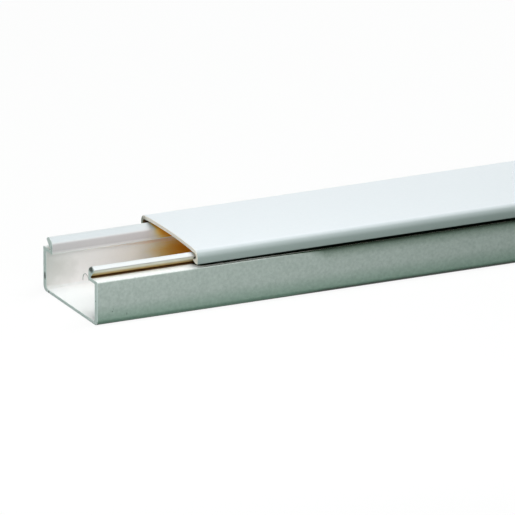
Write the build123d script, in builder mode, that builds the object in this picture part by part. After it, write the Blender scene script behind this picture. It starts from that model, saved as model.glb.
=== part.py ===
"""Two-piece cord cover raceway in rigid PVC.

An extruded channel carries a hooked rim on each wall, and a lid clips over
both rims. The lid has been slid along, so one end of the channel is open.
X runs along the stock, Y across it and Z up from the wall face. All sizes in mm.
"""

import os

from build123d import *

# Stock: both pieces are cut to one length
LENGTH = 400.0
LID_SLIDE = 32.5  # from the closed place, along +X

# Channel section
BASE_WIDTH = 38.8
FLOOR = 1.0
WALL = 2.1
FOOT_RADIUS = 2.0  # outside, between the floor and a wall
CHANNEL_RADIUS = 1.0  # inside, between the floor and a wall
LEDGE_HEIGHT = 13.9  # top of the ledge above the wall face
LEDGE_THICKNESS = 1.1
LEDGE_WIDTH = 5.2  # outer face of the wall to the root of the hook
SHOULDER_RADIUS = 0.5  # outer edge of the ledge
CEILING_RADIUS = 0.3  # inside, between a wall and its ledge
LIP_RADIUS = 0.5  # lower inner edge of the ledge

# Hooked rim on each ledge
NECK_THICKNESS = 1.3
NECK_RADIUS = 1.2  # top of the neck's inner face
HOOK_REACH = 3.0  # hook tip outwards from its root
HOOK_RISE = 3.0  # hook tip above the ledge
HOOK_RADIUS = 0.35
ROOT_RADIUS = 0.15
CREST_RISE = 0.75  # crest above the hook tip
CREST_SETBACK = 1.4  # crest inwards from the hook tip
CREST_WIDTH = 0.8
CREST_DROP = 1.25  # crest down to the neck's inner face
CREST_RADIUS = 1.4

# Lid section
LID_OVERHANG = 0.6  # past each wall of the channel
LID_THICKNESS = 1.1
LID_CROWN = 0.8  # rise of the top, and of the underside, between their edges
LID_RADIUS = 2.3  # outer edge between the top and a skirt
LID_INNER_RADIUS = 1.1
SKIRT_THICKNESS = 1.2
SKIRT_FOOT = 1.5  # flat width at the bottom of a skirt
SKIRT_GAP = 1.15  # bottom of a skirt above the ledge
SKIRT_RADIUS = 0.3
BARB_RISE = 0.7  # barb nose above the bottom of its skirt
BARB_SLOPE = 0.7  # barb root above its nose
BARB_RADIUS = 0.25

# Fits
SEAT_CLEARANCE = 0.3  # rim crest to the underside of the lid
CLIP_CLEARANCE = 0.25  # barb nose to the sloping face of the hook

# Places that both pieces share, on the +Y half of the section
base_half = BASE_WIDTH / 2
hook_root = base_half - LEDGE_WIDTH
hook_tip = hook_root + HOOK_REACH
hook_tip_height = LEDGE_HEIGHT + HOOK_RISE
crest_height = hook_tip_height + CREST_RISE

os.makedirs("parts", exist_ok=True)

# Channel: half the section is drawn and mirrored
crest_outer = hook_tip - CREST_SETBACK
neck_inner = hook_root - NECK_THICKNESS
ledge_underside = LEDGE_HEIGHT - LEDGE_THICKNESS
wall_inner = base_half - WALL

with BuildPart() as base_channel:
    with BuildSketch(Plane.YZ.offset(-LENGTH / 2)):
        with BuildLine():
            half_section = FilletPolyline(
                (0, 0),
                (base_half, 0),
                (base_half, LEDGE_HEIGHT),
                (hook_root, LEDGE_HEIGHT),
                (hook_tip, hook_tip_height),
                (crest_outer, crest_height),
                (crest_outer - CREST_WIDTH, crest_height),
                (neck_inner, crest_height - CREST_DROP),
                (neck_inner, ledge_underside),
                (wall_inner, ledge_underside),
                (wall_inner, FLOOR),
                (0, FLOOR),
                radius=[
                    FOOT_RADIUS,
                    SHOULDER_RADIUS,
                    ROOT_RADIUS,
                    HOOK_RADIUS,
                    CREST_RADIUS,
                    CREST_RADIUS,
                    NECK_RADIUS,
                    LIP_RADIUS,
                    CEILING_RADIUS,
                    CHANNEL_RADIUS,
                ],
            )
            mirror(half_section, about=Plane.YZ)
        make_face()
    extrude(amount=LENGTH)
base_channel.part.label = "base_channel"
export_step(base_channel.part, "parts/base_channel.step")

# Lid: its underside sits on the crests and its barbs follow the sloping hooks
lid_half = base_half + LID_OVERHANG
lid_underside = crest_height + SEAT_CLEARANCE
lid_top = lid_underside + LID_THICKNESS
skirt_inner = lid_half - SKIRT_THICKNESS
skirt_bottom = LEDGE_HEIGHT + SKIRT_GAP
barb_height = skirt_bottom + BARB_RISE
hook_slope = HOOK_REACH / HOOK_RISE
barb_gap = CLIP_CLEARANCE * (1 + hook_slope**2) ** 0.5
barb_nose = hook_root + hook_slope * (barb_height - LEDGE_HEIGHT) + barb_gap

with BuildPart() as lid:
    with BuildSketch(Plane.YZ.offset(LID_SLIDE - LENGTH / 2)) as lid_section:
        with BuildLine():
            ThreePointArc((-lid_half, lid_top), (0, lid_top + LID_CROWN), (lid_half, lid_top))
            skirt = FilletPolyline(
                (lid_half, lid_top),
                (lid_half, skirt_bottom),
                (lid_half - SKIRT_FOOT, skirt_bottom),
                (barb_nose, barb_height),
                (skirt_inner, barb_height + BARB_SLOPE),
                (skirt_inner, lid_underside),
                radius=[SKIRT_RADIUS, SKIRT_RADIUS, BARB_RADIUS, BARB_RADIUS],
            )
            mirror(skirt, about=Plane.YZ)
            ThreePointArc(
                (-skirt_inner, lid_underside),
                (0, lid_underside + LID_CROWN),
                (skirt_inner, lid_underside),
            )
        make_face()
        fillet(lid_section.vertices().group_by(Axis.Y)[-2], radius=LID_INNER_RADIUS)
        fillet(lid_section.vertices().group_by(Axis.Y)[-1], radius=LID_RADIUS)
    extrude(amount=LENGTH)
lid.part.label = "lid"
export_step(lid.part, "parts/lid.step")
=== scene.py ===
"""Visual model of a two-piece cord cover raceway in white PVC.

The channel and its lid are extruded sections with rounded corners and sawn
ends. The lid stands slid along, so the open end shows the hooked rims that it
clips over. Objects are in metres; the sizes of a section are in millimetres.
"""

import logging
import math
from dataclasses import dataclass, field
from enum import Enum
from typing import Any

import bmesh
import bpy
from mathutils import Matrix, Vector

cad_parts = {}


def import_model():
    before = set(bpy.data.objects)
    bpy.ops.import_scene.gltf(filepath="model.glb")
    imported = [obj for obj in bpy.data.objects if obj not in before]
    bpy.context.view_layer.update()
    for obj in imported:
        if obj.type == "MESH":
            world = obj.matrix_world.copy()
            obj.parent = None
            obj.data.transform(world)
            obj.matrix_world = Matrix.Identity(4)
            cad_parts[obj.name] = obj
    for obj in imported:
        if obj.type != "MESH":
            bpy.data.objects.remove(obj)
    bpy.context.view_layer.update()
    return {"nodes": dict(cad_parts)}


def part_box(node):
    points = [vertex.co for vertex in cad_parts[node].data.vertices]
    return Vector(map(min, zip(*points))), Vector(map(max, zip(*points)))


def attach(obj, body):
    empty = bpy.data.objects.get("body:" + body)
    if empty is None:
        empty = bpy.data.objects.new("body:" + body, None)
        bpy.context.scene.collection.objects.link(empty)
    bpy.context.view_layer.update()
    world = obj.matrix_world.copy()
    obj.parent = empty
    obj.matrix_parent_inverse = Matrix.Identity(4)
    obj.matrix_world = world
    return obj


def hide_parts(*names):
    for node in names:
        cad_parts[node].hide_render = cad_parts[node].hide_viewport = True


MM = 0.001
TOLERANCE = 0.01  # millimetres
LEAST_STEPS = 4  # of a rounding
STEPS_PER_MM = 3  # of a rounding's radius, on top of the least
QUAD = 4  # corners of a face along the stock
NOISE_SPAN = (0.3, 0.7)  # what a noise texture mostly stays within
SPOT_FRAY = 0.4  # how far a spot's edge strays, in sizes of the spot
SPOT_EDGE = (0.45, 1.05)  # where a spot starts to fade and where it ends, in its sizes
OPENNESS_SAMPLES = 64

Colour = tuple[float, float, float, float]
Ramp = tuple[tuple[float, Colour], ...]
Range = tuple[float, float]
Point = tuple[float, float, float]
Socket = bpy.types.NodeSocket

log = logging.getLogger("raceway")


class Surface(Enum):
    """The kinds of surface on an extruded length, as material slots."""

    DRAWN = 0
    HOLLOW = 1
    SAWN = 2


@dataclass(frozen=True)
class Corner:
    """A corner of a section, with the radius that rounds it."""

    y: float
    z: float
    radius: float = 0.0
    steps: int = 0

    def mirrored(self) -> "Corner":
        """Return the same corner on the other side of the middle plane."""
        return Corner(-self.y, self.z, self.radius, self.steps)

    def segments(self) -> int:
        """Return how many straight steps make the rounding."""
        return self.steps or LEAST_STEPS + round(STEPS_PER_MM * self.radius)


class NodeBoard:
    """A shader tree with short ways to add nodes and join them."""

    MIX_COLOURS = (6, 7)  # the Mix node's colour inputs
    MIX_RESULT = 2  # and its colour output

    def __init__(self, tree: bpy.types.NodeTree) -> None:
        """Take over a tree and clear it.

        Args:
            tree: The tree of a material, a world or a node group.
        """
        self.tree = tree
        tree.nodes.clear()

    def add(self, kind: str, inputs: dict | None = None, **settings: Any) -> bpy.types.Node:
        """Add a node.

        Args:
            kind: Blender's name of the node type.
            inputs: A value or a socket to join for each input's name or number.
            **settings: Properties to set on the node.

        Returns:
            The new node.
        """
        node = self.tree.nodes.new(kind)
        for name, value in settings.items():
            setattr(node, name, value)
        for name, value in (inputs or {}).items():
            if isinstance(value, Socket):
                self.tree.links.new(value, node.inputs[name])
            else:
                node.inputs[name].default_value = value
        return node

    def math(self, operation: str, *values: Any) -> Socket:
        """Add a Math node.

        Args:
            operation: The operation's name.
            *values: Its operands, as numbers or sockets.

        Returns:
            The result.
        """
        return self.add("ShaderNodeMath", dict(enumerate(values)), operation=operation).outputs[0]

    def blend(self, share: Any, first: Any, second: Any, mode: str = "MIX") -> Socket:
        """Blend two colours.

        Args:
            share: How much of the second colour shows, from 0 to 1.
            first: The colour or socket underneath.
            second: The colour or socket on top.
            mode: The way of blending.

        Returns:
            The blended colour.
        """
        inputs = {0: share, **dict(zip(self.MIX_COLOURS, (first, second)))}
        node = self.add("ShaderNodeMix", inputs, data_type="RGBA", blend_type=mode)
        return node.outputs[self.MIX_RESULT]

    def ramp(self, value: Any, stops: Ramp) -> Socket:
        """Turn a value into a colour.

        Args:
            value: The socket to look up.
            stops: Places from 0 to 1 in rising order, each with its colour.

        Returns:
            The colour.
        """
        node = self.add("ShaderNodeValToRGB", {0: value})
        elements = node.color_ramp.elements
        while len(elements) < len(stops):
            elements.new(1.0)
        for element, (place, colour) in zip(elements, stops):
            element.position = place
            element.color = colour
        return node.outputs[0]

    def fit(self, value: Any, low: float, high: float, to_low: float, to_high: float) -> Socket:
        """Map a value from one range to another, and hold it at the ends.

        Args:
            value: The socket to map.
            low: Start of the range it comes from.
            high: End of the range it comes from.
            to_low: Start of the range it goes to.
            to_high: End of the range it goes to.

        Returns:
            The mapped value.
        """
        inputs = {0: value, 1: low, 2: high, 3: to_low, 4: to_high}
        return self.add("ShaderNodeMapRange", inputs).outputs[0]


class EffectGroup:
    """A shader node group that several finishes share."""

    def __init__(self, name: str, inputs: dict[str, Any], outputs: tuple[str, ...]) -> None:
        """Start a group.

        Args:
            name: The group's name.
            inputs: Each input's name with its default, a number or three of them.
            outputs: The names of the values that it puts out.
        """
        self.tree = bpy.data.node_groups.new(name, "ShaderNodeTree")
        self.board = NodeBoard(self.tree)
        for label, default in inputs.items():
            kind = "NodeSocketFloat" if isinstance(default, float) else "NodeSocketVector"
            socket = self.tree.interface.new_socket(label, in_out="INPUT", socket_type=kind)
            socket.default_value = default
        for label in outputs:
            self.tree.interface.new_socket(label, in_out="OUTPUT", socket_type="NodeSocketFloat")
        self.given = self.board.add("NodeGroupInput").outputs
        self.result = self.board.add("NodeGroupOutput").inputs

    def put_out(self, label: str, value: Socket) -> None:
        """Join a value to one of the group's outputs."""
        self.tree.links.new(value, self.result[label])

    def place(self, board: NodeBoard, **inputs: Any) -> bpy.types.NodeOutputs:
        """Use the group in a material.

        Args:
            board: The material's board.
            **inputs: A value or socket for each input, with _ for a space.

        Returns:
            The placed group's outputs.
        """
        named = {label.replace("_", " "): value for label, value in inputs.items()}
        return board.add("ShaderNodeGroup", named, node_tree=self.tree).outputs


class Effects:
    """The effects that the finishes share, each built once."""

    def __init__(self) -> None:
        """Build every group."""
        self.die_lines = self.make_die_lines()
        self.grain = self.make_grain()
        self.saw_marks = self.make_saw_marks()
        self.spot = self.make_spot()

    @staticmethod
    def make_die_lines() -> EffectGroup:
        """Make the fine lengthwise lines that the die leaves.

        Returns:
            A group with the lines' Height.
        """
        group = EffectGroup(
            "die_lines",
            {"Vector": (0.0, 0.0, 0.0), "Run": 6.0, "Pitch": 2600.0},
            ("Height",),
        )
        run, pitch = group.given["Run"], group.given["Pitch"]
        stretch = group.board.add("ShaderNodeCombineXYZ", {"X": run, "Y": pitch, "Z": pitch})
        drawn = group.board.add(
            "ShaderNodeVectorMath",
            {0: group.given["Vector"], 1: stretch.outputs[0]},
            operation="MULTIPLY",
        )
        lines = group.board.add(
            "ShaderNodeTexNoise",
            {"Vector": drawn.outputs[0], "Scale": 1.0, "Detail": 2.0, "Roughness": 0.6},
        )
        group.put_out("Height", lines.outputs[0])
        return group

    @staticmethod
    def make_grain() -> EffectGroup:
        """Make the satin skin's fine grain and its coarser mottling.

        Returns:
            A group with the Grain and the Mottle.
        """
        group = EffectGroup(
            "satin_grain",
            {"Vector": (0.0, 0.0, 0.0), "Grain Scale": 2200.0, "Mottle Scale": 1100.0},
            ("Grain", "Mottle"),
        )
        for label in ("Grain", "Mottle"):
            noise = group.board.add(
                "ShaderNodeTexNoise",
                {
                    "Vector": group.given["Vector"],
                    "Scale": group.given[f"{label} Scale"],
                    "Detail": 3.0,
                    "Roughness": 0.55,
                },
            )
            group.put_out(label, noise.outputs[0])
        return group

    @staticmethod
    def make_saw_marks() -> EffectGroup:
        """Make the slanting scratches that a saw leaves across a cut end.

        Returns:
            A group with the scratches' Height.
        """
        group = EffectGroup(
            "saw_marks",
            {"Vector": (0.0, 0.0, 0.0), "Slant": (0.5, 0.0, 0.0), "Stretch": (1.0, 300.0, 6000.0)},
            ("Height",),
        )
        turned = group.board.add(
            "ShaderNodeMapping",
            {
                "Vector": group.given["Vector"],
                "Rotation": group.given["Slant"],
                "Scale": group.given["Stretch"],
            },
        )
        marks = group.board.add(
            "ShaderNodeTexNoise",
            {"Vector": turned.outputs[0], "Scale": 1.0, "Detail": 3.0, "Roughness": 0.6},
        )
        group.put_out("Height", marks.outputs[0])
        return group

    @staticmethod
    def make_spot() -> EffectGroup:
        """Make one ragged spot of grime or painted shade at a place on the piece.

        Returns:
            A group with the spot's Mask.
        """
        group = EffectGroup(
            "grime_and_shade_spot",
            {
                "Vector": (0.0, 0.0, 0.0),
                "Centre": (0.0, 0.0, 0.0),
                "Size": (0.001, 0.001, 0.001),
                "Rag": 2500.0,
            },
            ("Mask",),
        )
        board = group.board
        away = board.add(
            "ShaderNodeVectorMath",
            {0: group.given["Vector"], 1: group.given["Centre"]},
            operation="SUBTRACT",
        )
        sized = board.add(
            "ShaderNodeVectorMath",
            {0: away.outputs[0], 1: group.given["Size"]},
            operation="DIVIDE",
        )
        far = board.add("ShaderNodeVectorMath", {0: sized.outputs[0]}, operation="LENGTH")
        ragged = board.add(
            "ShaderNodeTexNoise",
            {"Vector": group.given["Vector"], "Scale": group.given["Rag"], "Detail": 2.0},
        )
        frayed = board.fit(ragged.outputs[0], 0.0, 1.0, -SPOT_FRAY, SPOT_FRAY)
        edge = board.math("ADD", far.outputs["Value"], frayed)
        group.put_out("Mask", board.fit(edge, *SPOT_EDGE, 1.0, 0.0))
        return group


@dataclass(frozen=True)
class Spot:
    """A spot of grime, a nick or painted shade, where it lies and how far it spreads, in
    millimetres.
    """

    centre: Point
    size: Point
    strength: float = 0.8
    colour: Colour = (0.03, 0.04, 0.03, 1.0)
    rag: float = 2500.0  # scale of the noise that frays its edge


@dataclass(frozen=True)
class PvcFinish:
    """Satin white PVC as the die leaves it."""

    name: str
    colour: Colour
    mottle_colour: Colour
    roughness: Range = (0.38, 0.5)
    specular: float = 0.35
    ior: float = 1.48
    line_depth: float = 0.004  # millimetres
    grain_share: float = 0.5
    crevice: Ramp = ()  # painted shade, by how open the close surroundings are
    crevice_reach: float = 6.0  # millimetres
    crevice_lift: float = 0.0
    lit_run: Range = (-148.0, -125.0)  # along the stock, where the seam's painted shade stops being painted lighter
    lit_gain: float = 1.0  # on the openness before that run, which paints the crevice shade lighter
    spots: tuple[Spot, ...] = ()

    def start(self) -> tuple[bpy.types.Material, NodeBoard, Socket]:
        """Begin the material.

        Returns:
            The material, its board and the Object coordinates.
        """
        material = bpy.data.materials.new(self.name)
        material.use_nodes = True
        board = NodeBoard(material.node_tree)
        return material, board, board.add("ShaderNodeTexCoord").outputs["Object"]

    def tone(self, board: NodeBoard, at: Any, mottle: Any) -> Any:
        """Mix the clean colour.

        Args:
            board: The material's board.
            at: The Object coordinates, not used here.
            mottle: The mottling, from 0 to 1.

        Returns:
            The colour.
        """
        share = board.fit(mottle, *NOISE_SPAN, 0.0, 1.0)
        return board.blend(share, self.colour, self.mottle_colour)

    @staticmethod
    def openness(board: NodeBoard, reach: float, lift: float) -> Socket:
        """Measure how much of the air over a place is open.

        Args:
            board: The material's board.
            reach: How far to look, in millimetres.
            lift: How far the looking is turned upwards.

        Returns:
            The open share, from 0 to 1.
        """
        face = board.add("ShaderNodeNewGeometry").outputs["Normal"]
        lifted = board.add("ShaderNodeVectorMath", {0: face, 1: (0.0, 0.0, lift)})
        towards = board.add("ShaderNodeVectorMath", {0: lifted.outputs[0]}, operation="NORMALIZE")
        inputs = {"Distance": MM * reach, "Normal": towards.outputs[0]}
        node = board.add("ShaderNodeAmbientOcclusion", inputs, samples=OPENNESS_SAMPLES)
        return node.outputs["AO"]

    def paint_crevice_shade(self, board: NodeBoard, at: Any, colour: Any) -> Any:
        """Paint shade on a colour where the surface lies in a crevice, painted lighter towards the
        open end.

        Args:
            board: The material's board.
            at: The Object coordinates.
            colour: The colour in the open.

        Returns:
            The colour, with painted shade in the crevices.
        """
        if not self.crevice:
            return colour
        along = board.add("ShaderNodeSeparateXYZ", {0: at}).outputs["X"]
        start, end = (MM * place for place in self.lit_run)
        near = self.openness(board, self.crevice_reach, self.crevice_lift)
        lit = board.math("MULTIPLY", near, board.fit(along, start, end, self.lit_gain, 1.0))
        return board.blend(1.0, colour, board.ramp(lit, self.crevice), "MULTIPLY")

    def lay_grime_and_shade(self, board: NodeBoard, effects: Effects, at: Any, colour: Any) -> Any:
        """Lay the spots of grime and painted shade over a colour.

        Args:
            board: The material's board.
            effects: The shared effects.
            at: The Object coordinates.
            colour: The clean colour.

        Returns:
            The colour with its grime and painted shade.
        """
        for spot in self.spots:
            centre = tuple(MM * value for value in spot.centre)
            size = tuple(MM * value for value in spot.size)
            laid = effects.spot.place(board, Vector=at, Centre=centre, Size=size, Rag=spot.rag)
            share = board.math("MULTIPLY", laid["Mask"], spot.strength)
            colour = board.blend(share, colour, spot.colour)
        return colour

    def close(self, board: NodeBoard, colour: Any, roughness: Any, height: Any) -> None:
        """Join the finish to its shader.

        Args:
            board: The material's board.
            colour: The base colour.
            roughness: The roughness.
            height: The relief of the surface, from 0 to 1.
        """
        bump = board.add(
            "ShaderNodeBump",
            {"Height": height, "Strength": 1.0, "Distance": MM * self.line_depth},
        )
        shader = board.add(
            "ShaderNodeBsdfPrincipled",
            {
                "Base Color": colour,
                "Roughness": roughness,
                "Normal": bump.outputs[0],
                "IOR": self.ior,
                "Specular IOR Level": self.specular,
            },
        )
        board.add("ShaderNodeOutputMaterial", {"Surface": shader.outputs[0]})

    def make(self, effects: Effects) -> bpy.types.Material:
        """Make the material.

        Args:
            effects: The shared effects.

        Returns:
            The material.
        """
        material, board, at = self.start()
        grain = effects.grain.place(board, Vector=at)
        lines = effects.die_lines.place(board, Vector=at)["Height"]
        clean = self.paint_crevice_shade(board, at, self.tone(board, at, grain["Mottle"]))
        colour = self.lay_grime_and_shade(board, effects, at, clean)
        roughness = board.fit(grain["Grain"], *NOISE_SPAN, *self.roughness)
        height = board.math("ADD", lines, board.math("MULTIPLY", grain["Grain"], self.grain_share))
        self.close(board, colour, roughness, height)
        return material


@dataclass(frozen=True)
class WallFinish(PvcFinish):
    """The outside of the channel, with shade painted on by height, darker towards the foot and
    with a painted highlight along the shoulder, and with painted shade along the seam under the
    lid.
    """

    rise: Range = (0.0, 14.0)  # millimetres
    # Painted shade by height: darkest at the foot, grey-green up the wall, and a painted highlight
    # along the shoulder.
    painted_height_shade: Ramp = (
        (0.0, (0.11, 0.24, 0.165, 1.0)),
        (0.15, (0.35, 0.455, 0.395, 1.0)),
        (0.45, (0.585, 0.625, 0.605, 1.0)),
        (0.957, (0.585, 0.625, 0.605, 1.0)),
        (0.985, (0.97, 0.97, 0.97, 1.0)),
    )
    # Painted shade along the seam under the lid's overhang, lighter towards the open end.
    crevice: Ramp = (
        (0.59, (0.03, 0.055, 0.035, 1.0)),
        (0.65, (0.23, 0.29, 0.235, 1.0)),
        (0.672, (0.5, 0.56, 0.51, 1.0)),
        (0.705, (0.68, 0.72, 0.69, 1.0)),
        (0.74, (1.0, 1.0, 1.0, 1.0)),
    )
    crevice_reach: float = 8.0
    crevice_lift: float = 1.5
    lit_gain: float = 1.6

    def tone(self, board: NodeBoard, at: Any, mottle: Any) -> Any:
        """Mix the clean colour and paint shade on it by height, with a painted highlight along the
        shoulder.

        Args:
            board: The material's board.
            at: The Object coordinates.
            mottle: The mottling, from 0 to 1.

        Returns:
            The colour.
        """
        low, high = (MM * level for level in self.rise)
        height = board.add("ShaderNodeSeparateXYZ", {0: at}).outputs["Z"]
        shade_by_height = board.ramp(board.fit(height, low, high, 0.0, 1.0), self.painted_height_shade)
        return board.blend(1.0, super().tone(board, at, mottle), shade_by_height, "MULTIPLY")


@dataclass(frozen=True)
class CrownFinish(PvcFinish):
    """The outside of the lid, with shade painted darker where the face turns down from its level
    top.
    """

    # Painted shade: darker where the face turns down to the skirt.
    turn: Ramp = (
        (0.0, (0.46, 0.505, 0.475, 1.0)),
        (0.6, (0.53, 0.57, 0.55, 1.0)),
        (0.88, (0.74, 0.76, 0.76, 1.0)),
        (0.985, (1.0, 1.0, 1.0, 1.0)),
    )

    def tone(self, board: NodeBoard, at: Any, mottle: Any) -> Any:
        """Mix the clean colour and paint shade on it where the face turns down.

        Args:
            board: The material's board.
            at: The Object coordinates.
            mottle: The mottling, from 0 to 1.

        Returns:
            The colour.
        """
        face = board.add("ShaderNodeNewGeometry").outputs["Normal"]
        level = board.add("ShaderNodeSeparateXYZ", {0: face}).outputs["Z"]
        turned_shade = board.ramp(level, self.turn)
        return board.blend(1.0, super().tone(board, at, mottle), turned_shade, "MULTIPLY")


@dataclass(frozen=True)
class HollowFinish(PvcFinish):
    """The inside of the channel, with warm shade painted where little of the open air reaches, and
    painted light and shade on the parts of the rim.
    """

    specular: float = 0.08
    # Painted warm shade, from amber under the lid to white in the open.
    shade: Ramp = (
        (0.0, (0.95, 0.88, 0.74, 1.0)),
        (0.03, (1.0, 0.37, 0.02, 1.0)),
        (0.07, (1.0, 0.39, 0.024, 1.0)),
        (0.1, (1.0, 0.62, 0.14, 1.0)),
        (0.125, (1.0, 0.79, 0.32, 1.0)),
        (0.145, (1.0, 0.925, 0.72, 1.0)),
        (0.157, (1.0, 0.96, 0.87, 1.0)),
        (0.28, (1.0, 0.985, 0.975, 1.0)),
        (0.5, (1.0, 1.0, 1.0, 1.0)),
    )
    hook_shade: Ramp = (
        (0.0, (0.14, 0.075, 0.025, 1.0)),
        (0.15, (0.43, 0.26, 0.085, 1.0)),
        (0.4, (0.56, 0.42, 0.19, 1.0)),
        (0.7, (0.87, 0.84, 0.73, 1.0)),
    )
    root_shade: Ramp = (
        (0.0, (0.15, 0.085, 0.035, 1.0)),
        (0.5, (0.18, 0.105, 0.045, 1.0)),
        (0.75, (0.64, 0.56, 0.45, 1.0)),
        (0.95, (1.0, 1.0, 1.0, 1.0)),
    )
    # Painted shade in crevices: the gap under the lid's skirt and the hook's root.
    crevice: Ramp = (
        (0.15, (0.006, 0.01, 0.006, 1.0)),
        (0.26, (0.015, 0.018, 0.01, 1.0)),
        (0.285, (0.42, 0.36, 0.28, 1.0)),
        (0.31, (0.96, 0.93, 0.9, 1.0)),
        (0.34, (1.0, 1.0, 1.0, 1.0)),
    )
    lit_gain: float = 1.9
    # Places and distances, in millimetres
    reach: float = 200.0  # of the look at the open air
    ledge: Range = (7.8, 12.8)  # where the ledge starts to shade the wall, and its underside
    lip: float = 0.3  # the run between the shares of the ledge and the rim
    brow: Range = (10.0, 11.6)  # the top of the wall that shows under the ledge, painted lighter
    hook: Range = (13.9, 16.9)  # root and tip
    root_line: float = 14.55  # from the middle plane
    root_reach: float = 1.0
    # Shares of openness
    lift: float = 0.6
    ledge_share: float = 0.15
    rim_share: float = 1.6
    lip_share: float = 0.13
    least_share: float = 0.5  # under the ledge and on top of it
    brow_gain: float = 0.8
    brow_open: Range = (0.09, 0.14)
    neck_open: Range = (0.1, 0.25)
    level_share: float = 0.4  # of the crest's painted shade, on the level ledge
    # How far a face turns up, or for the slope outwards, from 1 to -1
    lip_turn: Range = (0.0, -0.5)
    under_turn: Range = (-0.5, -0.85)
    side_turn: Range = (0.2, 0.6)
    crest_turn: Range = (0.2, 0.7)
    slope_turn: Range = (0.0, -0.35)
    hook_turn: Range = (0.0, -0.5)
    # Painted light and shade on parts of the section
    side_warm_light: Colour = (1.0, 0.965, 0.955, 1.0)
    crest_shade: Colour = (0.83, 0.845, 0.855, 1.0)
    slope_shade: Colour = (0.84, 0.865, 0.885, 1.0)
    neck_shade: Colour = (0.68, 0.67, 0.69, 1.0)

    def usual(self, board: NodeBoard, height: Any, upwards: Any) -> Socket:
        """Work out how open a place usually is, from its part of the section.

        Args:
            board: The material's board.
            height: The height above the wall face.
            upwards: How far the face turns up, from -1 to 1.

        Returns:
            The usual openness.
        """
        low, high = (MM * level for level in self.ledge)
        below = board.fit(height, low, high, 1.0, self.ledge_share)
        above = board.fit(height, high - MM * self.lip, high, self.ledge_share, self.rim_share)
        turned = board.fit(upwards, *self.lip_turn, 1.0, self.lip_share)
        return board.math("MULTIPLY", board.math("MAXIMUM", below, above), turned)

    def exposure(self, board: NodeBoard, height: Any, upwards: Any) -> Socket:
        """Measure how open a place is, as a share of what is usual there, with the top of the wall
        under the ledge painted lighter.

        Args:
            board: The material's board.
            height: The height above the wall face.
            upwards: How far the face turns up, from -1 to 1.

        Returns:
            The share, 0 in the dark and about 1 in the open.
        """
        seen = self.openness(board, self.reach, self.lift)
        share = board.math("DIVIDE", seen, self.usual(board, height, upwards))
        start, end = (MM * level for level in self.brow)
        brow = board.fit(height, start, end, 0.0, self.brow_gain)
        inside = board.math("LESS_THAN", height, MM * self.ledge[1])
        brow = board.math("MULTIPLY", brow, inside)
        brow = board.math("MULTIPLY", brow, board.fit(share, *self.brow_open, 0.0, 1.0))
        share = board.math("MULTIPLY_ADD", share, brow, share)
        under = board.fit(upwards, *self.under_turn, 0.0, 1.0)
        level = board.math("COMPARE", height, MM * self.hook[0], MM * TOLERANCE)
        least = board.math("MULTIPLY", board.math("MAXIMUM", under, level), self.least_share)
        return board.math("MAXIMUM", share, least)

    def from_root(self, board: NodeBoard, place: Any) -> Socket:
        """Measure how far a place is from the hook's root.

        Args:
            board: The material's board.
            place: The Object coordinates, one by one.

        Returns:
            0 at the root, and 1 at its reach and beyond.
        """
        across = board.math("SUBTRACT", board.math("ABSOLUTE", place["Y"]), MM * self.root_line)
        above = board.math("SUBTRACT", place["Z"], MM * self.hook[0])
        offset = board.add("ShaderNodeCombineXYZ", {0: across, 1: above})
        away = board.add("ShaderNodeVectorMath", {0: offset.outputs[0]}, operation="LENGTH")
        return board.fit(away.outputs["Value"], 0.0, MM * self.root_reach, 0.0, 1.0)

    def parts(
        self, board: NodeBoard, place: Any, facing: Any, share: Socket
    ) -> list[tuple[Any, Any]]:
        """Find the parts of the section that get painted light or shade of their own: side, neck,
        crest, slope, under the hook and at its root.

        Args:
            board: The material's board.
            place: The Object coordinates, one by one.
            facing: The face's direction, one axis after the other.
            share: How open the place is.

        Returns:
            The mask and the tint of each part.
        """
        root, tip = (MM * level for level in self.hook)
        side = board.fit(board.math("ABSOLUTE", facing["Z"]), *self.side_turn, 1.0, 0.0)
        raised = board.fit(place["Z"], MM * self.ledge[1], root, 0.0, 1.0)
        neck = board.math("MULTIPLY", side, raised)
        neck = board.math("MULTIPLY", neck, board.fit(share, *self.neck_open, 0.0, 1.0))
        up_hook = board.fit(place["Z"], root, tip, 0.0, 1.0)
        crest = board.math("MULTIPLY", board.fit(facing["Z"], *self.crest_turn, 0.0, 1.0), raised)
        crest = board.math("MULTIPLY", crest, board.fit(up_hook, 0.0, 1.0, self.level_share, 1.0))
        outwards = board.math("MULTIPLY", facing["Y"], board.math("SIGN", place["Y"]))
        slope = board.math("MULTIPLY", crest, board.fit(outwards, *self.slope_turn, 0.0, 1.0))
        on_rim = board.math("GREATER_THAN", place["Z"], root)
        under = board.math("MULTIPLY", board.fit(facing["Z"], *self.hook_turn, 0.0, 1.0), on_rim)
        return [
            (side, self.side_warm_light),
            (neck, self.neck_shade),
            (crest, self.crest_shade),
            (slope, self.slope_shade),
            (under, board.ramp(up_hook, self.hook_shade)),
            (1.0, board.ramp(self.from_root(board, place), self.root_shade)),
        ]

    def tone(self, board: NodeBoard, at: Any, mottle: Any) -> Any:
        """Mix the clean colour, paint warm shade where little open air reaches and paint light and
        shade on the parts of the rim.

        Args:
            board: The material's board.
            at: The Object coordinates.
            mottle: The mottling, from 0 to 1.

        Returns:
            The colour.
        """
        place = board.add("ShaderNodeSeparateXYZ", {0: at}).outputs
        face = board.add("ShaderNodeNewGeometry").outputs["Normal"]
        facing = board.add("ShaderNodeSeparateXYZ", {0: face}).outputs
        share = self.exposure(board, place["Z"], facing["Z"])
        warm = board.ramp(share, self.shade)
        colour = board.blend(1.0, super().tone(board, at, mottle), warm, "MULTIPLY")
        for mask, tint in self.parts(board, place, facing, share):
            colour = board.blend(mask, colour, tint, "MULTIPLY")
        return colour


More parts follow.
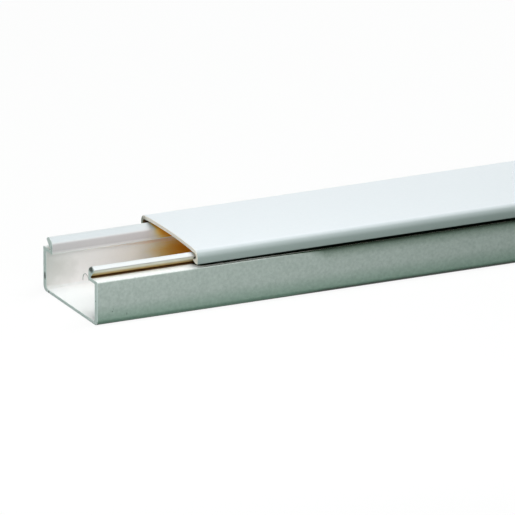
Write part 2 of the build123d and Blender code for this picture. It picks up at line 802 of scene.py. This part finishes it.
@dataclass(frozen=True)
class SawnFinish(PvcFinish):
    """PVC where a saw has cut it across, scratched, a little soiled and with spots of painted
    shade.
    """

    roughness: Range = (0.55, 0.75)
    line_depth: float = 0.03

    def make(self, effects: Effects) -> bpy.types.Material:
        """Make the material.

        Args:
            effects: The shared effects.

        Returns:
            The material.
        """
        material, board, at = self.start()
        marks = effects.saw_marks.place(board, Vector=at)["Height"]
        colour = self.lay_grime_and_shade(board, effects, at, self.tone(board, at, marks))
        roughness = board.fit(marks, *NOISE_SPAN, *self.roughness)
        self.close(board, colour, roughness, marks)
        return material


@dataclass(frozen=True)
class FinishSet:
    """The finishes of one extrusion, one for each kind of surface."""

    drawn: PvcFinish
    hollow: PvcFinish
    sawn: PvcFinish

    def make(self, effects: Effects) -> list[bpy.types.Material]:
        """Return the materials in the order of Surface."""
        return [finish.make(effects) for finish in (self.drawn, self.hollow, self.sawn)]


@dataclass
class Extrusion:
    """A length of extruded PVC between two sawn ends."""

    node: str
    body: str
    slot: str
    name: str
    arris: float = 0.1
    arris_steps: int = 2
    stations: int = 40
    smooth_angle: float = math.radians(35)
    low: Vector = field(init=False)
    high: Vector = field(init=False)

    def __post_init__(self) -> None:
        """Read the piece's place from the frame."""
        low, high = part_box(self.node)
        self.low, self.high = low / MM, high / MM

    def half_outline(self) -> list[Corner]:
        """Return the corners of the section's +Y half, in order round the outline."""
        raise NotImplementedError

    def in_hollow(self, y: float, z: float) -> bool:
        """Tell whether a place on the section faces the hollow inside."""
        raise NotImplementedError

    def section(self) -> list[Corner]:
        """Return the corners of the whole section."""
        half = self.half_outline()
        return half + [corner.mirrored() for corner in reversed(half) if corner.y > 0]

    def lay_section(self, bm: bmesh.types.BMesh) -> None:
        """Lay the section flat at the low end of the piece and round its corners.

        Args:
            bm: The mesh to start.
        """
        corners = self.section()
        verts = [bm.verts.new((self.low.x, corner.y, corner.z)) for corner in corners]
        bm.faces.new(verts)
        for corner, vert in zip(corners, verts):
            if not corner.radius:
                continue
            one, other = (edge.other_vert(vert).co - vert.co for edge in vert.link_edges)
            bmesh.ops.bevel(
                bm,
                geom=[vert],
                offset=corner.radius / math.tan(one.angle(other) / 2),
                offset_type="OFFSET",
                segments=corner.segments(),
                profile=0.5,
                affect="VERTICES",
                material=-1,
                clamp_overlap=False,
            )

    def draw_out(self, bm: bmesh.types.BMesh) -> None:
        """Draw the section out along the stock, break its sawn edges and divide its length.

        Args:
            bm: The mesh that holds the flat section.
        """
        swept = bmesh.ops.extrude_face_region(bm, geom=list(bm.faces))
        moved = [item for item in swept["geom"] if isinstance(item, bmesh.types.BMVert)]
        bmesh.ops.translate(bm, vec=(self.high.x - self.low.x, 0, 0), verts=moved)
        bmesh.ops.recalc_face_normals(bm, faces=bm.faces)
        caps = [face for face in bm.faces if len(face.verts) > QUAD]
        for cap in caps:
            cap.material_index = Surface.SAWN.value
        broken = bmesh.ops.bevel(
            bm,
            geom=[edge for cap in caps for edge in cap.edges],
            offset=self.arris,
            offset_type="OFFSET",
            segments=self.arris_steps,
            profile=0.5,
            affect="EDGES",
            material=-1,
            clamp_overlap=False,
        )
        for face in broken["faces"]:
            face.material_index = Surface.SAWN.value
        span = (self.high.x - self.low.x) / 2
        runs = [edge for edge in bm.edges if edge.calc_length() > span]
        bmesh.ops.subdivide_edges(bm, edges=runs, cuts=self.stations - 1, use_grid_fill=True)
        for face in bm.faces:
            centre = face.calc_center_median()
            drawn = face.material_index == Surface.DRAWN.value
            if drawn and self.in_hollow(abs(centre.y), centre.z):
                face.material_index = Surface.HOLLOW.value

    def build(self) -> bpy.types.Object:
        """Model the piece and put it in its CAD node's place.

        Returns:
            The piece.
        """
        bm = bmesh.new()
        self.lay_section(bm)
        self.draw_out(bm)
        bmesh.ops.scale(bm, vec=(MM, MM, MM), verts=bm.verts)
        mesh = bpy.data.meshes.new(self.name)
        bm.to_mesh(mesh)
        bm.free()
        mesh.shade_smooth()
        mesh.set_sharp_from_angle(angle=self.smooth_angle)
        piece = bpy.data.objects.new(self.name, mesh)
        bpy.context.scene.collection.objects.link(piece)
        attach(piece, self.body)
        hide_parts(self.node)
        return piece

    @staticmethod
    def dress(piece: bpy.types.Object, materials: list[bpy.types.Material]) -> None:
        """Give the piece its materials, in the order of Surface."""
        for material in materials:
            piece.data.materials.append(material)


@dataclass
class Channel(Extrusion):
    """The channel that goes against the wall, with a hooked rim on each ledge."""

    node: str = "base_channel"
    body: str = "channel"
    slot: str = "channel_pvc"
    name: str = "channel_extrusion"
    floor: float = 1.0
    wall: float = 2.1
    foot_radius: float = 2.0
    channel_radius: float = 1.0
    ledge_height: float = 13.9
    ledge_thickness: float = 1.1
    ledge_width: float = 5.2
    shoulder_radius: float = 0.5
    ceiling_radius: float = 0.3
    lip_radius: float = 0.5
    neck_thickness: float = 1.3
    neck_radius: float = 1.2
    hook_reach: float = 3.0
    hook_rise: float = 3.0
    hook_radius: float = 0.35
    root_radius: float = 0.15
    crest_setback: float = 1.4
    crest_width: float = 0.8
    crest_drop: float = 1.25
    crest_radius: float = 1.4

    def in_hollow(self, y: float, z: float) -> bool:
        """Tell whether a place on the section is inside the walls or on top of a ledge."""
        wall = y > self.high.y - self.wall + TOLERANCE and z < self.ledge_height - TOLERANCE
        return not wall and z > self.floor - TOLERANCE

    def half_outline(self) -> list[Corner]:
        """Lay out the +Y half, from the back round the rim to the floor inside.

        Returns:
            The corners.
        """
        half, crest = self.high.y, self.high.z
        root = half - self.ledge_width
        tip = root + self.hook_reach
        neck = root - self.neck_thickness
        ceiling = self.ledge_height - self.ledge_thickness
        inner = half - self.wall
        crest_outer = tip - self.crest_setback
        return [
            Corner(half, self.low.z, self.foot_radius),
            Corner(half, self.ledge_height, self.shoulder_radius),
            Corner(root, self.ledge_height, self.root_radius),
            Corner(tip, self.ledge_height + self.hook_rise, self.hook_radius),
            Corner(crest_outer, crest, self.crest_radius),
            Corner(crest_outer - self.crest_width, crest, self.crest_radius),
            Corner(neck, crest - self.crest_drop, self.neck_radius),
            Corner(neck, ceiling, self.lip_radius),
            Corner(inner, ceiling, self.ceiling_radius),
            Corner(inner, self.floor, self.channel_radius),
        ]


@dataclass
class Lid(Extrusion):
    """The crowned lid that clips over both rims."""

    node: str = "lid"
    body: str = "cover"
    slot: str = "lid_pvc"
    name: str = "lid_extrusion"
    thickness: float = 1.1
    crown: float = 0.8
    crown_steps: int = 32
    crown_margin: float = 1.2  # flat run beside an edge, in radii of the edge
    crown_drop: float = 0.582  # of a slope's rounded run, lost from its peak
    edge_radius: float = 2.3
    inner_radius: float = 1.1
    skirt_thickness: float = 1.2
    skirt_foot: float = 1.5
    skirt_radius: float = 0.3
    barb_reach: float = 2.4
    barb_rise: float = 0.7
    barb_slope: float = 0.7
    barb_radius: float = 0.25

    def in_hollow(self, y: float, z: float) -> bool:
        """Tell whether a place on the section is under the top and between the skirts.

        Args:
            y: How far it is from the middle plane.
            z: Its height.

        Returns:
            True for a place in the hollow.
        """
        drop = self.crown * (y / self.high.y) ** 2
        under = z < self.high.z - drop - self.thickness / 2
        return under and y < self.high.y - self.skirt_foot / 2

    def crown_corners(self, half: float, edge: float, radius: float) -> list[Corner]:
        """Lay a crowned face as two shallow slopes whose meeting point is rounded into an arc.

        Args:
            half: Half the face's width.
            edge: The height of its edges.
            radius: The rounding at each edge.

        Returns:
            The corner at the edge and the one in the middle.
        """
        slide = half - self.crown_margin * radius
        slope = self.crown / (half - self.crown_drop * slide)
        peak = Corner(0.0, edge + slope * half, slide / slope, self.crown_steps)
        return [Corner(half, edge, radius), peak]

    def half_outline(self) -> list[Corner]:
        """Lay out the +Y half, from the underside round the skirt to the top.

        Returns:
            The corners.
        """
        half, bottom = self.high.y, self.low.z
        top = self.high.z - self.crown
        inner = half - self.skirt_thickness
        barb = bottom + self.barb_rise
        under_edge, under_peak = self.crown_corners(inner, top - self.thickness, self.inner_radius)
        top_edge, top_peak = self.crown_corners(half, top, self.edge_radius)
        return [
            under_peak,
            under_edge,
            Corner(inner, barb + self.barb_slope, self.barb_radius),
            Corner(inner - self.barb_reach, barb, self.barb_radius),
            Corner(half - self.skirt_foot, bottom, self.skirt_radius),
            Corner(half, bottom, self.skirt_radius),
            top_edge,
            top_peak,
        ]


@dataclass
class Swarf:
    """A hair of swarf that the saw left on the near ledge, bent in an arc over the channel."""

    name: str = "saw_swarf"
    body: str = "channel"
    slot: str = "channel_pvc"
    centre: Point = (-199.7, -10.6, 11.7)
    bend: float = 2.2
    start: float = math.radians(160)
    turn: float = math.radians(-170)
    steps: int = 24
    thickness: float = 0.1
    sides: int = 8

    def build(self) -> bpy.types.Object:
        """Bend the hair round its arc.

        Returns:
            The piece.
        """
        bm = bmesh.new()
        outwards = Vector((0.0, math.cos(self.start), math.sin(self.start)))
        middle = Vector(self.centre) + self.bend * outwards
        ring = []
        for side in range(self.sides):
            angle = math.tau * side / self.sides
            offset = Vector((math.cos(angle), 0.0, 0.0)) + math.sin(angle) * outwards
            ring.append(bm.verts.new(middle + self.thickness * offset))
        face = bm.faces.new(ring)
        bmesh.ops.spin(
            bm,
            geom=[*ring, *face.edges, face],
            cent=self.centre,
            axis=(1.0, 0.0, 0.0),
            angle=self.turn,
            steps=self.steps,
            use_duplicate=False,
        )
        bmesh.ops.recalc_face_normals(bm, faces=bm.faces)
        bmesh.ops.scale(bm, vec=(MM, MM, MM), verts=bm.verts)
        mesh = bpy.data.meshes.new(self.name)
        bm.to_mesh(mesh)
        bm.free()
        mesh.shade_smooth()
        piece = bpy.data.objects.new(self.name, mesh)
        bpy.context.scene.collection.objects.link(piece)
        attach(piece, self.body)
        return piece


@dataclass
class PhotoCamera:
    """The camera at the photograph's viewing angle."""

    azimuth: float = math.radians(-25.0974)
    elevation: float = math.radians(18.4286)
    lens: float = 1600.0
    sensor: float = 36.0
    frame_pixels: float = 515.0
    pixels_per_mm: float = 3.3577
    corner_pixel: Range = (97.531, 326.868)
    corner: Point = (-200.0, -19.4, 0.0)
    sight: float = 100.0  # metres

    def build(self) -> bpy.types.Object:
        """Aim the camera so that the channel's near foot falls on its pixel.

        Returns:
            The camera.
        """
        sin_a, cos_a = math.sin(self.azimuth), math.cos(self.azimuth)
        sin_e, cos_e = math.sin(self.elevation), math.cos(self.elevation)
        back = Vector((sin_a * cos_e, -cos_a * cos_e, sin_e))
        right = Vector((cos_a, sin_a, 0.0))
        up = back.cross(right)
        middle = self.frame_pixels / 2
        across = (middle - self.corner_pixel[0]) / self.pixels_per_mm
        above = (self.corner_pixel[1] - middle) / self.pixels_per_mm
        aim = Vector(self.corner) + across * right + above * up
        distance = self.lens / self.sensor * self.frame_pixels / self.pixels_per_mm
        data = bpy.data.cameras.new("photo_camera")
        data.lens = self.lens
        data.sensor_width = self.sensor
        data.clip_end = self.sight
        camera = bpy.data.objects.new("photo_camera", data)
        camera.location = MM * (aim + distance * back)
        camera.rotation_euler = back.to_track_quat("Z", "Y").to_euler()
        bpy.context.scene.collection.objects.link(camera)
        bpy.context.scene.camera = camera
        return camera


@dataclass(frozen=True)
class SoftLight:
    """A studio softbox: its place, aim and size in metres, its power and how wide it shines."""

    name: str
    place: Point
    aim: Point
    size: Range
    power: float
    spread: float = math.pi
    glossy: bool = True

    def build(self) -> bpy.types.Object:
        """Hang the softbox.

        Returns:
            The lamp.
        """
        data = bpy.data.lights.new(self.name, "AREA")
        data.shape = "RECTANGLE"
        data.size, data.size_y = self.size
        data.energy = self.power
        data.spread = self.spread
        lamp = bpy.data.objects.new(self.name, data)
        lamp.location = self.place
        back = Vector(self.place) - Vector(self.aim)
        lamp.rotation_euler = back.to_track_quat("Z", "Y").to_euler()
        lamp.visible_camera = False
        lamp.visible_glossy = self.glossy
        bpy.context.scene.collection.objects.link(lamp)
        return lamp


@dataclass
class Studio:
    """The pale floor, the white surround and the soft light."""

    floor_half: float = 40.0
    floor_tone: Colour = (0.06, 0.14, 0.1, 1.0)
    shadow_share: float = 0.1
    surround_tone: Colour = (0.7, 1.0, 0.85, 1.0)
    surround_strength: float = 0.11
    white: Colour = (1.0, 1.0, 1.0, 1.0)
    lights: tuple[SoftLight, ...] = (
        SoftLight(
            "overhead_softbox",
            place=(0.15, -0.25, 1.2),
            aim=(-0.1, 0.0, 0.0),
            size=(1.6, 0.5),
            power=13.5,
        ),
        SoftLight(
            "front_key",
            place=(-0.24, -0.22, 0.115),
            aim=(-0.19, 0.0, 0.01),
            size=(0.25, 0.14),
            power=0.095,
            spread=math.radians(90),
        ),
        SoftLight(
            "end_fill",
            place=(-1.0, 0.0, 0.3),
            aim=(-0.2, 0.0, 0.01),
            size=(0.4, 0.3),
            power=1.75,
            glossy=False,
        ),
        SoftLight(
            "back_fill",
            place=(0.0, 0.9, 0.05),
            aim=(0.0, 0.0, 0.01),
            size=(1.2, 0.1),
            power=4.2,
            glossy=False,
        ),
        SoftLight(
            "far_end_fill",
            place=(1.03, 0.0, 0.1),
            aim=(0.23, 0.0, 0.01),
            size=(0.4, 0.15),
            power=1.75,
            glossy=False,
        ),
    )

    @staticmethod
    def seen_directly(board: NodeBoard) -> Socket:
        """Tell rays that see a surface, also by reflection, from those that it lights.

        Args:
            board: The board of the surface's material, or of the world.

        Returns:
            1 for a ray that sees the surface, and otherwise 0.
        """
        path = board.add("ShaderNodeLightPath").outputs
        seen = board.math("MAXIMUM", path["Is Camera Ray"], path["Is Glossy Ray"])
        return board.math("MAXIMUM", seen, path["Is Transmission Ray"])

    def surround(self) -> None:
        """Make the world white to the eye and dimmer as a light."""
        world = bpy.data.worlds.new("studio_surround")
        world.use_nodes = True
        board = NodeBoard(world.node_tree)
        lit = board.add(
            "ShaderNodeBackground",
            {"Color": self.surround_tone, "Strength": self.surround_strength},
        )
        seen = board.add("ShaderNodeBackground", {"Color": self.white, "Strength": 1.0})
        mixed = board.add(
            "ShaderNodeMixShader",
            {0: self.seen_directly(board), 1: lit.outputs[0], 2: seen.outputs[0]},
        )
        board.add("ShaderNodeOutputWorld", {"Surface": mixed.outputs[0]})
        bpy.context.scene.world = world

    def floor(self) -> bpy.types.Object:
        """Lay the floor, white to the eye with the object's soft shadow.

        Returns:
            The floor.
        """
        material = bpy.data.materials.new("studio_floor")
        material.use_nodes = True
        board = NodeBoard(material.node_tree)
        table = board.add("ShaderNodeBsdfDiffuse", {"Color": self.floor_tone})
        paper = board.add("ShaderNodeBsdfDiffuse", {"Color": self.white})
        glow = board.add("ShaderNodeEmission", {"Color": self.white, "Strength": 1.0})
        pale = board.add(
            "ShaderNodeMixShader",
            {0: self.shadow_share, 1: glow.outputs[0], 2: paper.outputs[0]},
        )
        mixed = board.add(
            "ShaderNodeMixShader",
            {0: self.seen_directly(board), 1: table.outputs[0], 2: pale.outputs[0]},
        )
        board.add("ShaderNodeOutputMaterial", {"Surface": mixed.outputs[0]})
        bm = bmesh.new()
        bmesh.ops.create_grid(bm, x_segments=1, y_segments=1, size=self.floor_half)
        mesh = bpy.data.meshes.new("studio_floor")
        bm.to_mesh(mesh)
        bm.free()
        mesh.materials.append(material)
        floor = bpy.data.objects.new("studio_floor", mesh)
        bpy.context.scene.collection.objects.link(floor)
        return floor

    def build(self) -> None:
        """Set out the floor, the surround and the lights."""
        self.surround()
        self.floor()
        for light in self.lights:
            light.build()
        bpy.context.scene.view_settings.view_transform = "Standard"


CHANNEL_FINISHES = FinishSet(
    drawn=WallFinish(
        name="channel_pvc_drawn",
        colour=(0.94, 0.96, 0.95, 1.0),
        mottle_colour=(0.75, 0.79, 0.775, 1.0),
        spots=(
            Spot((-195.15, -19.4, 4.1), (0.25, 0.25, 0.25), 0.6),
            Spot((-194.8, -19.4, 4.86), (0.22, 0.22, 0.22), 0.5),
            Spot((-190.4, -19.4, 2.8), (0.3, 0.3, 0.5), 0.4),
        ),
    ),
    hollow=HollowFinish(
        name="channel_pvc_hollow",
        colour=(0.97, 0.975, 0.98, 1.0),
        mottle_colour=(0.95, 0.955, 0.96, 1.0),
        spots=(
            # Painted shade: a soft darker patch on the far wall by the sawn end.
            Spot((-199.5, 17.3, 6.5), (10.0, 2.0, 8.0), 0.35, (0.48, 0.47, 0.42, 1.0), 250.0),
        ),
    ),
    sawn=SawnFinish(
        name="channel_pvc_sawn",
        colour=(0.82, 0.89, 0.88, 1.0),
        mottle_colour=(0.74, 0.81, 0.8, 1.0),
        spots=(
            Spot((-200.0, -18.05, 7.6), (0.4, 0.3, 0.3), 0.6),
            Spot((-200.0, 18.2, 4.7), (0.5, 0.6, 1.5), 1.0),
            Spot((-200.0, 15.4, 0.45), (0.4, 0.6, 0.45)),
            Spot((-200.0, -14.7, 16.7), (0.8, 2.2, 1.3), 0.95),
            Spot((-200.0, 13.3, 14.4), (0.5, 0.5, 1.6), 0.35),
        ),
    ),
)
SWARF_FINISH = PvcFinish(
    name="swarf_pvc",
    colour=(0.5, 0.52, 0.5, 1.0),
    mottle_colour=(0.45, 0.47, 0.45, 1.0),
)
LID_FINISHES = FinishSet(
    drawn=CrownFinish(
        name="lid_pvc_drawn",
        colour=(0.84, 0.875, 0.915, 1.0),
        mottle_colour=(0.82, 0.86, 0.9, 1.0),
    ),
    hollow=PvcFinish(
        name="lid_pvc_hollow",
        colour=(0.9, 0.88, 0.84, 1.0),
        mottle_colour=(0.87, 0.85, 0.8, 1.0),
        # Painted shade in the crevices of the lid's underside, by the skirts.
        crevice=(
            (0.15, (0.04, 0.02, 0.008, 1.0)),
            (0.3, (0.25, 0.16, 0.08, 1.0)),
            (0.45, (1.0, 1.0, 1.0, 1.0)),
        ),
    ),
    sawn=SawnFinish(
        name="lid_pvc_sawn",
        # A warm cream, partly the PVC and partly painted light: the warm glow that the cut end
        # catches.
        colour=(0.9, 0.84, 0.76, 1.0),
        mottle_colour=(0.84, 0.78, 0.7, 1.0),
        spots=(
            # Painted shade at the far skirt's end and under the lid's far edge.
            Spot((-167.5, 19.3, 16.5), (0.8, 1.4, 2.2), 0.9, (0.2, 0.28, 0.24, 1.0)),
            Spot((-167.5, 18.0, 17.6), (0.8, 2.4, 1.8), 0.6, (0.2, 0.2, 0.16, 1.0)),
        ),
    ),
)


def main() -> None:
    """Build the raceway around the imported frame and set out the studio."""
    logging.basicConfig(level=logging.INFO, format="%(message)s")
    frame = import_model()
    log.info("frame: %s", ", ".join(sorted(frame["nodes"])))
    effects = Effects()
    for part, finishes in ((Channel(), CHANNEL_FINISHES), (Lid(), LID_FINISHES)):
        piece = part.build()
        part.dress(piece, finishes.make(effects))
        log.info("%s: %d faces", piece.name, len(piece.data.polygons))
    hair = Swarf().build()
    hair.data.materials.append(SWARF_FINISH.make(effects))
    log.info("%s: %d faces", hair.name, len(hair.data.polygons))
    PhotoCamera().build()
    Studio().build()


if __name__ == "__main__":
    main()
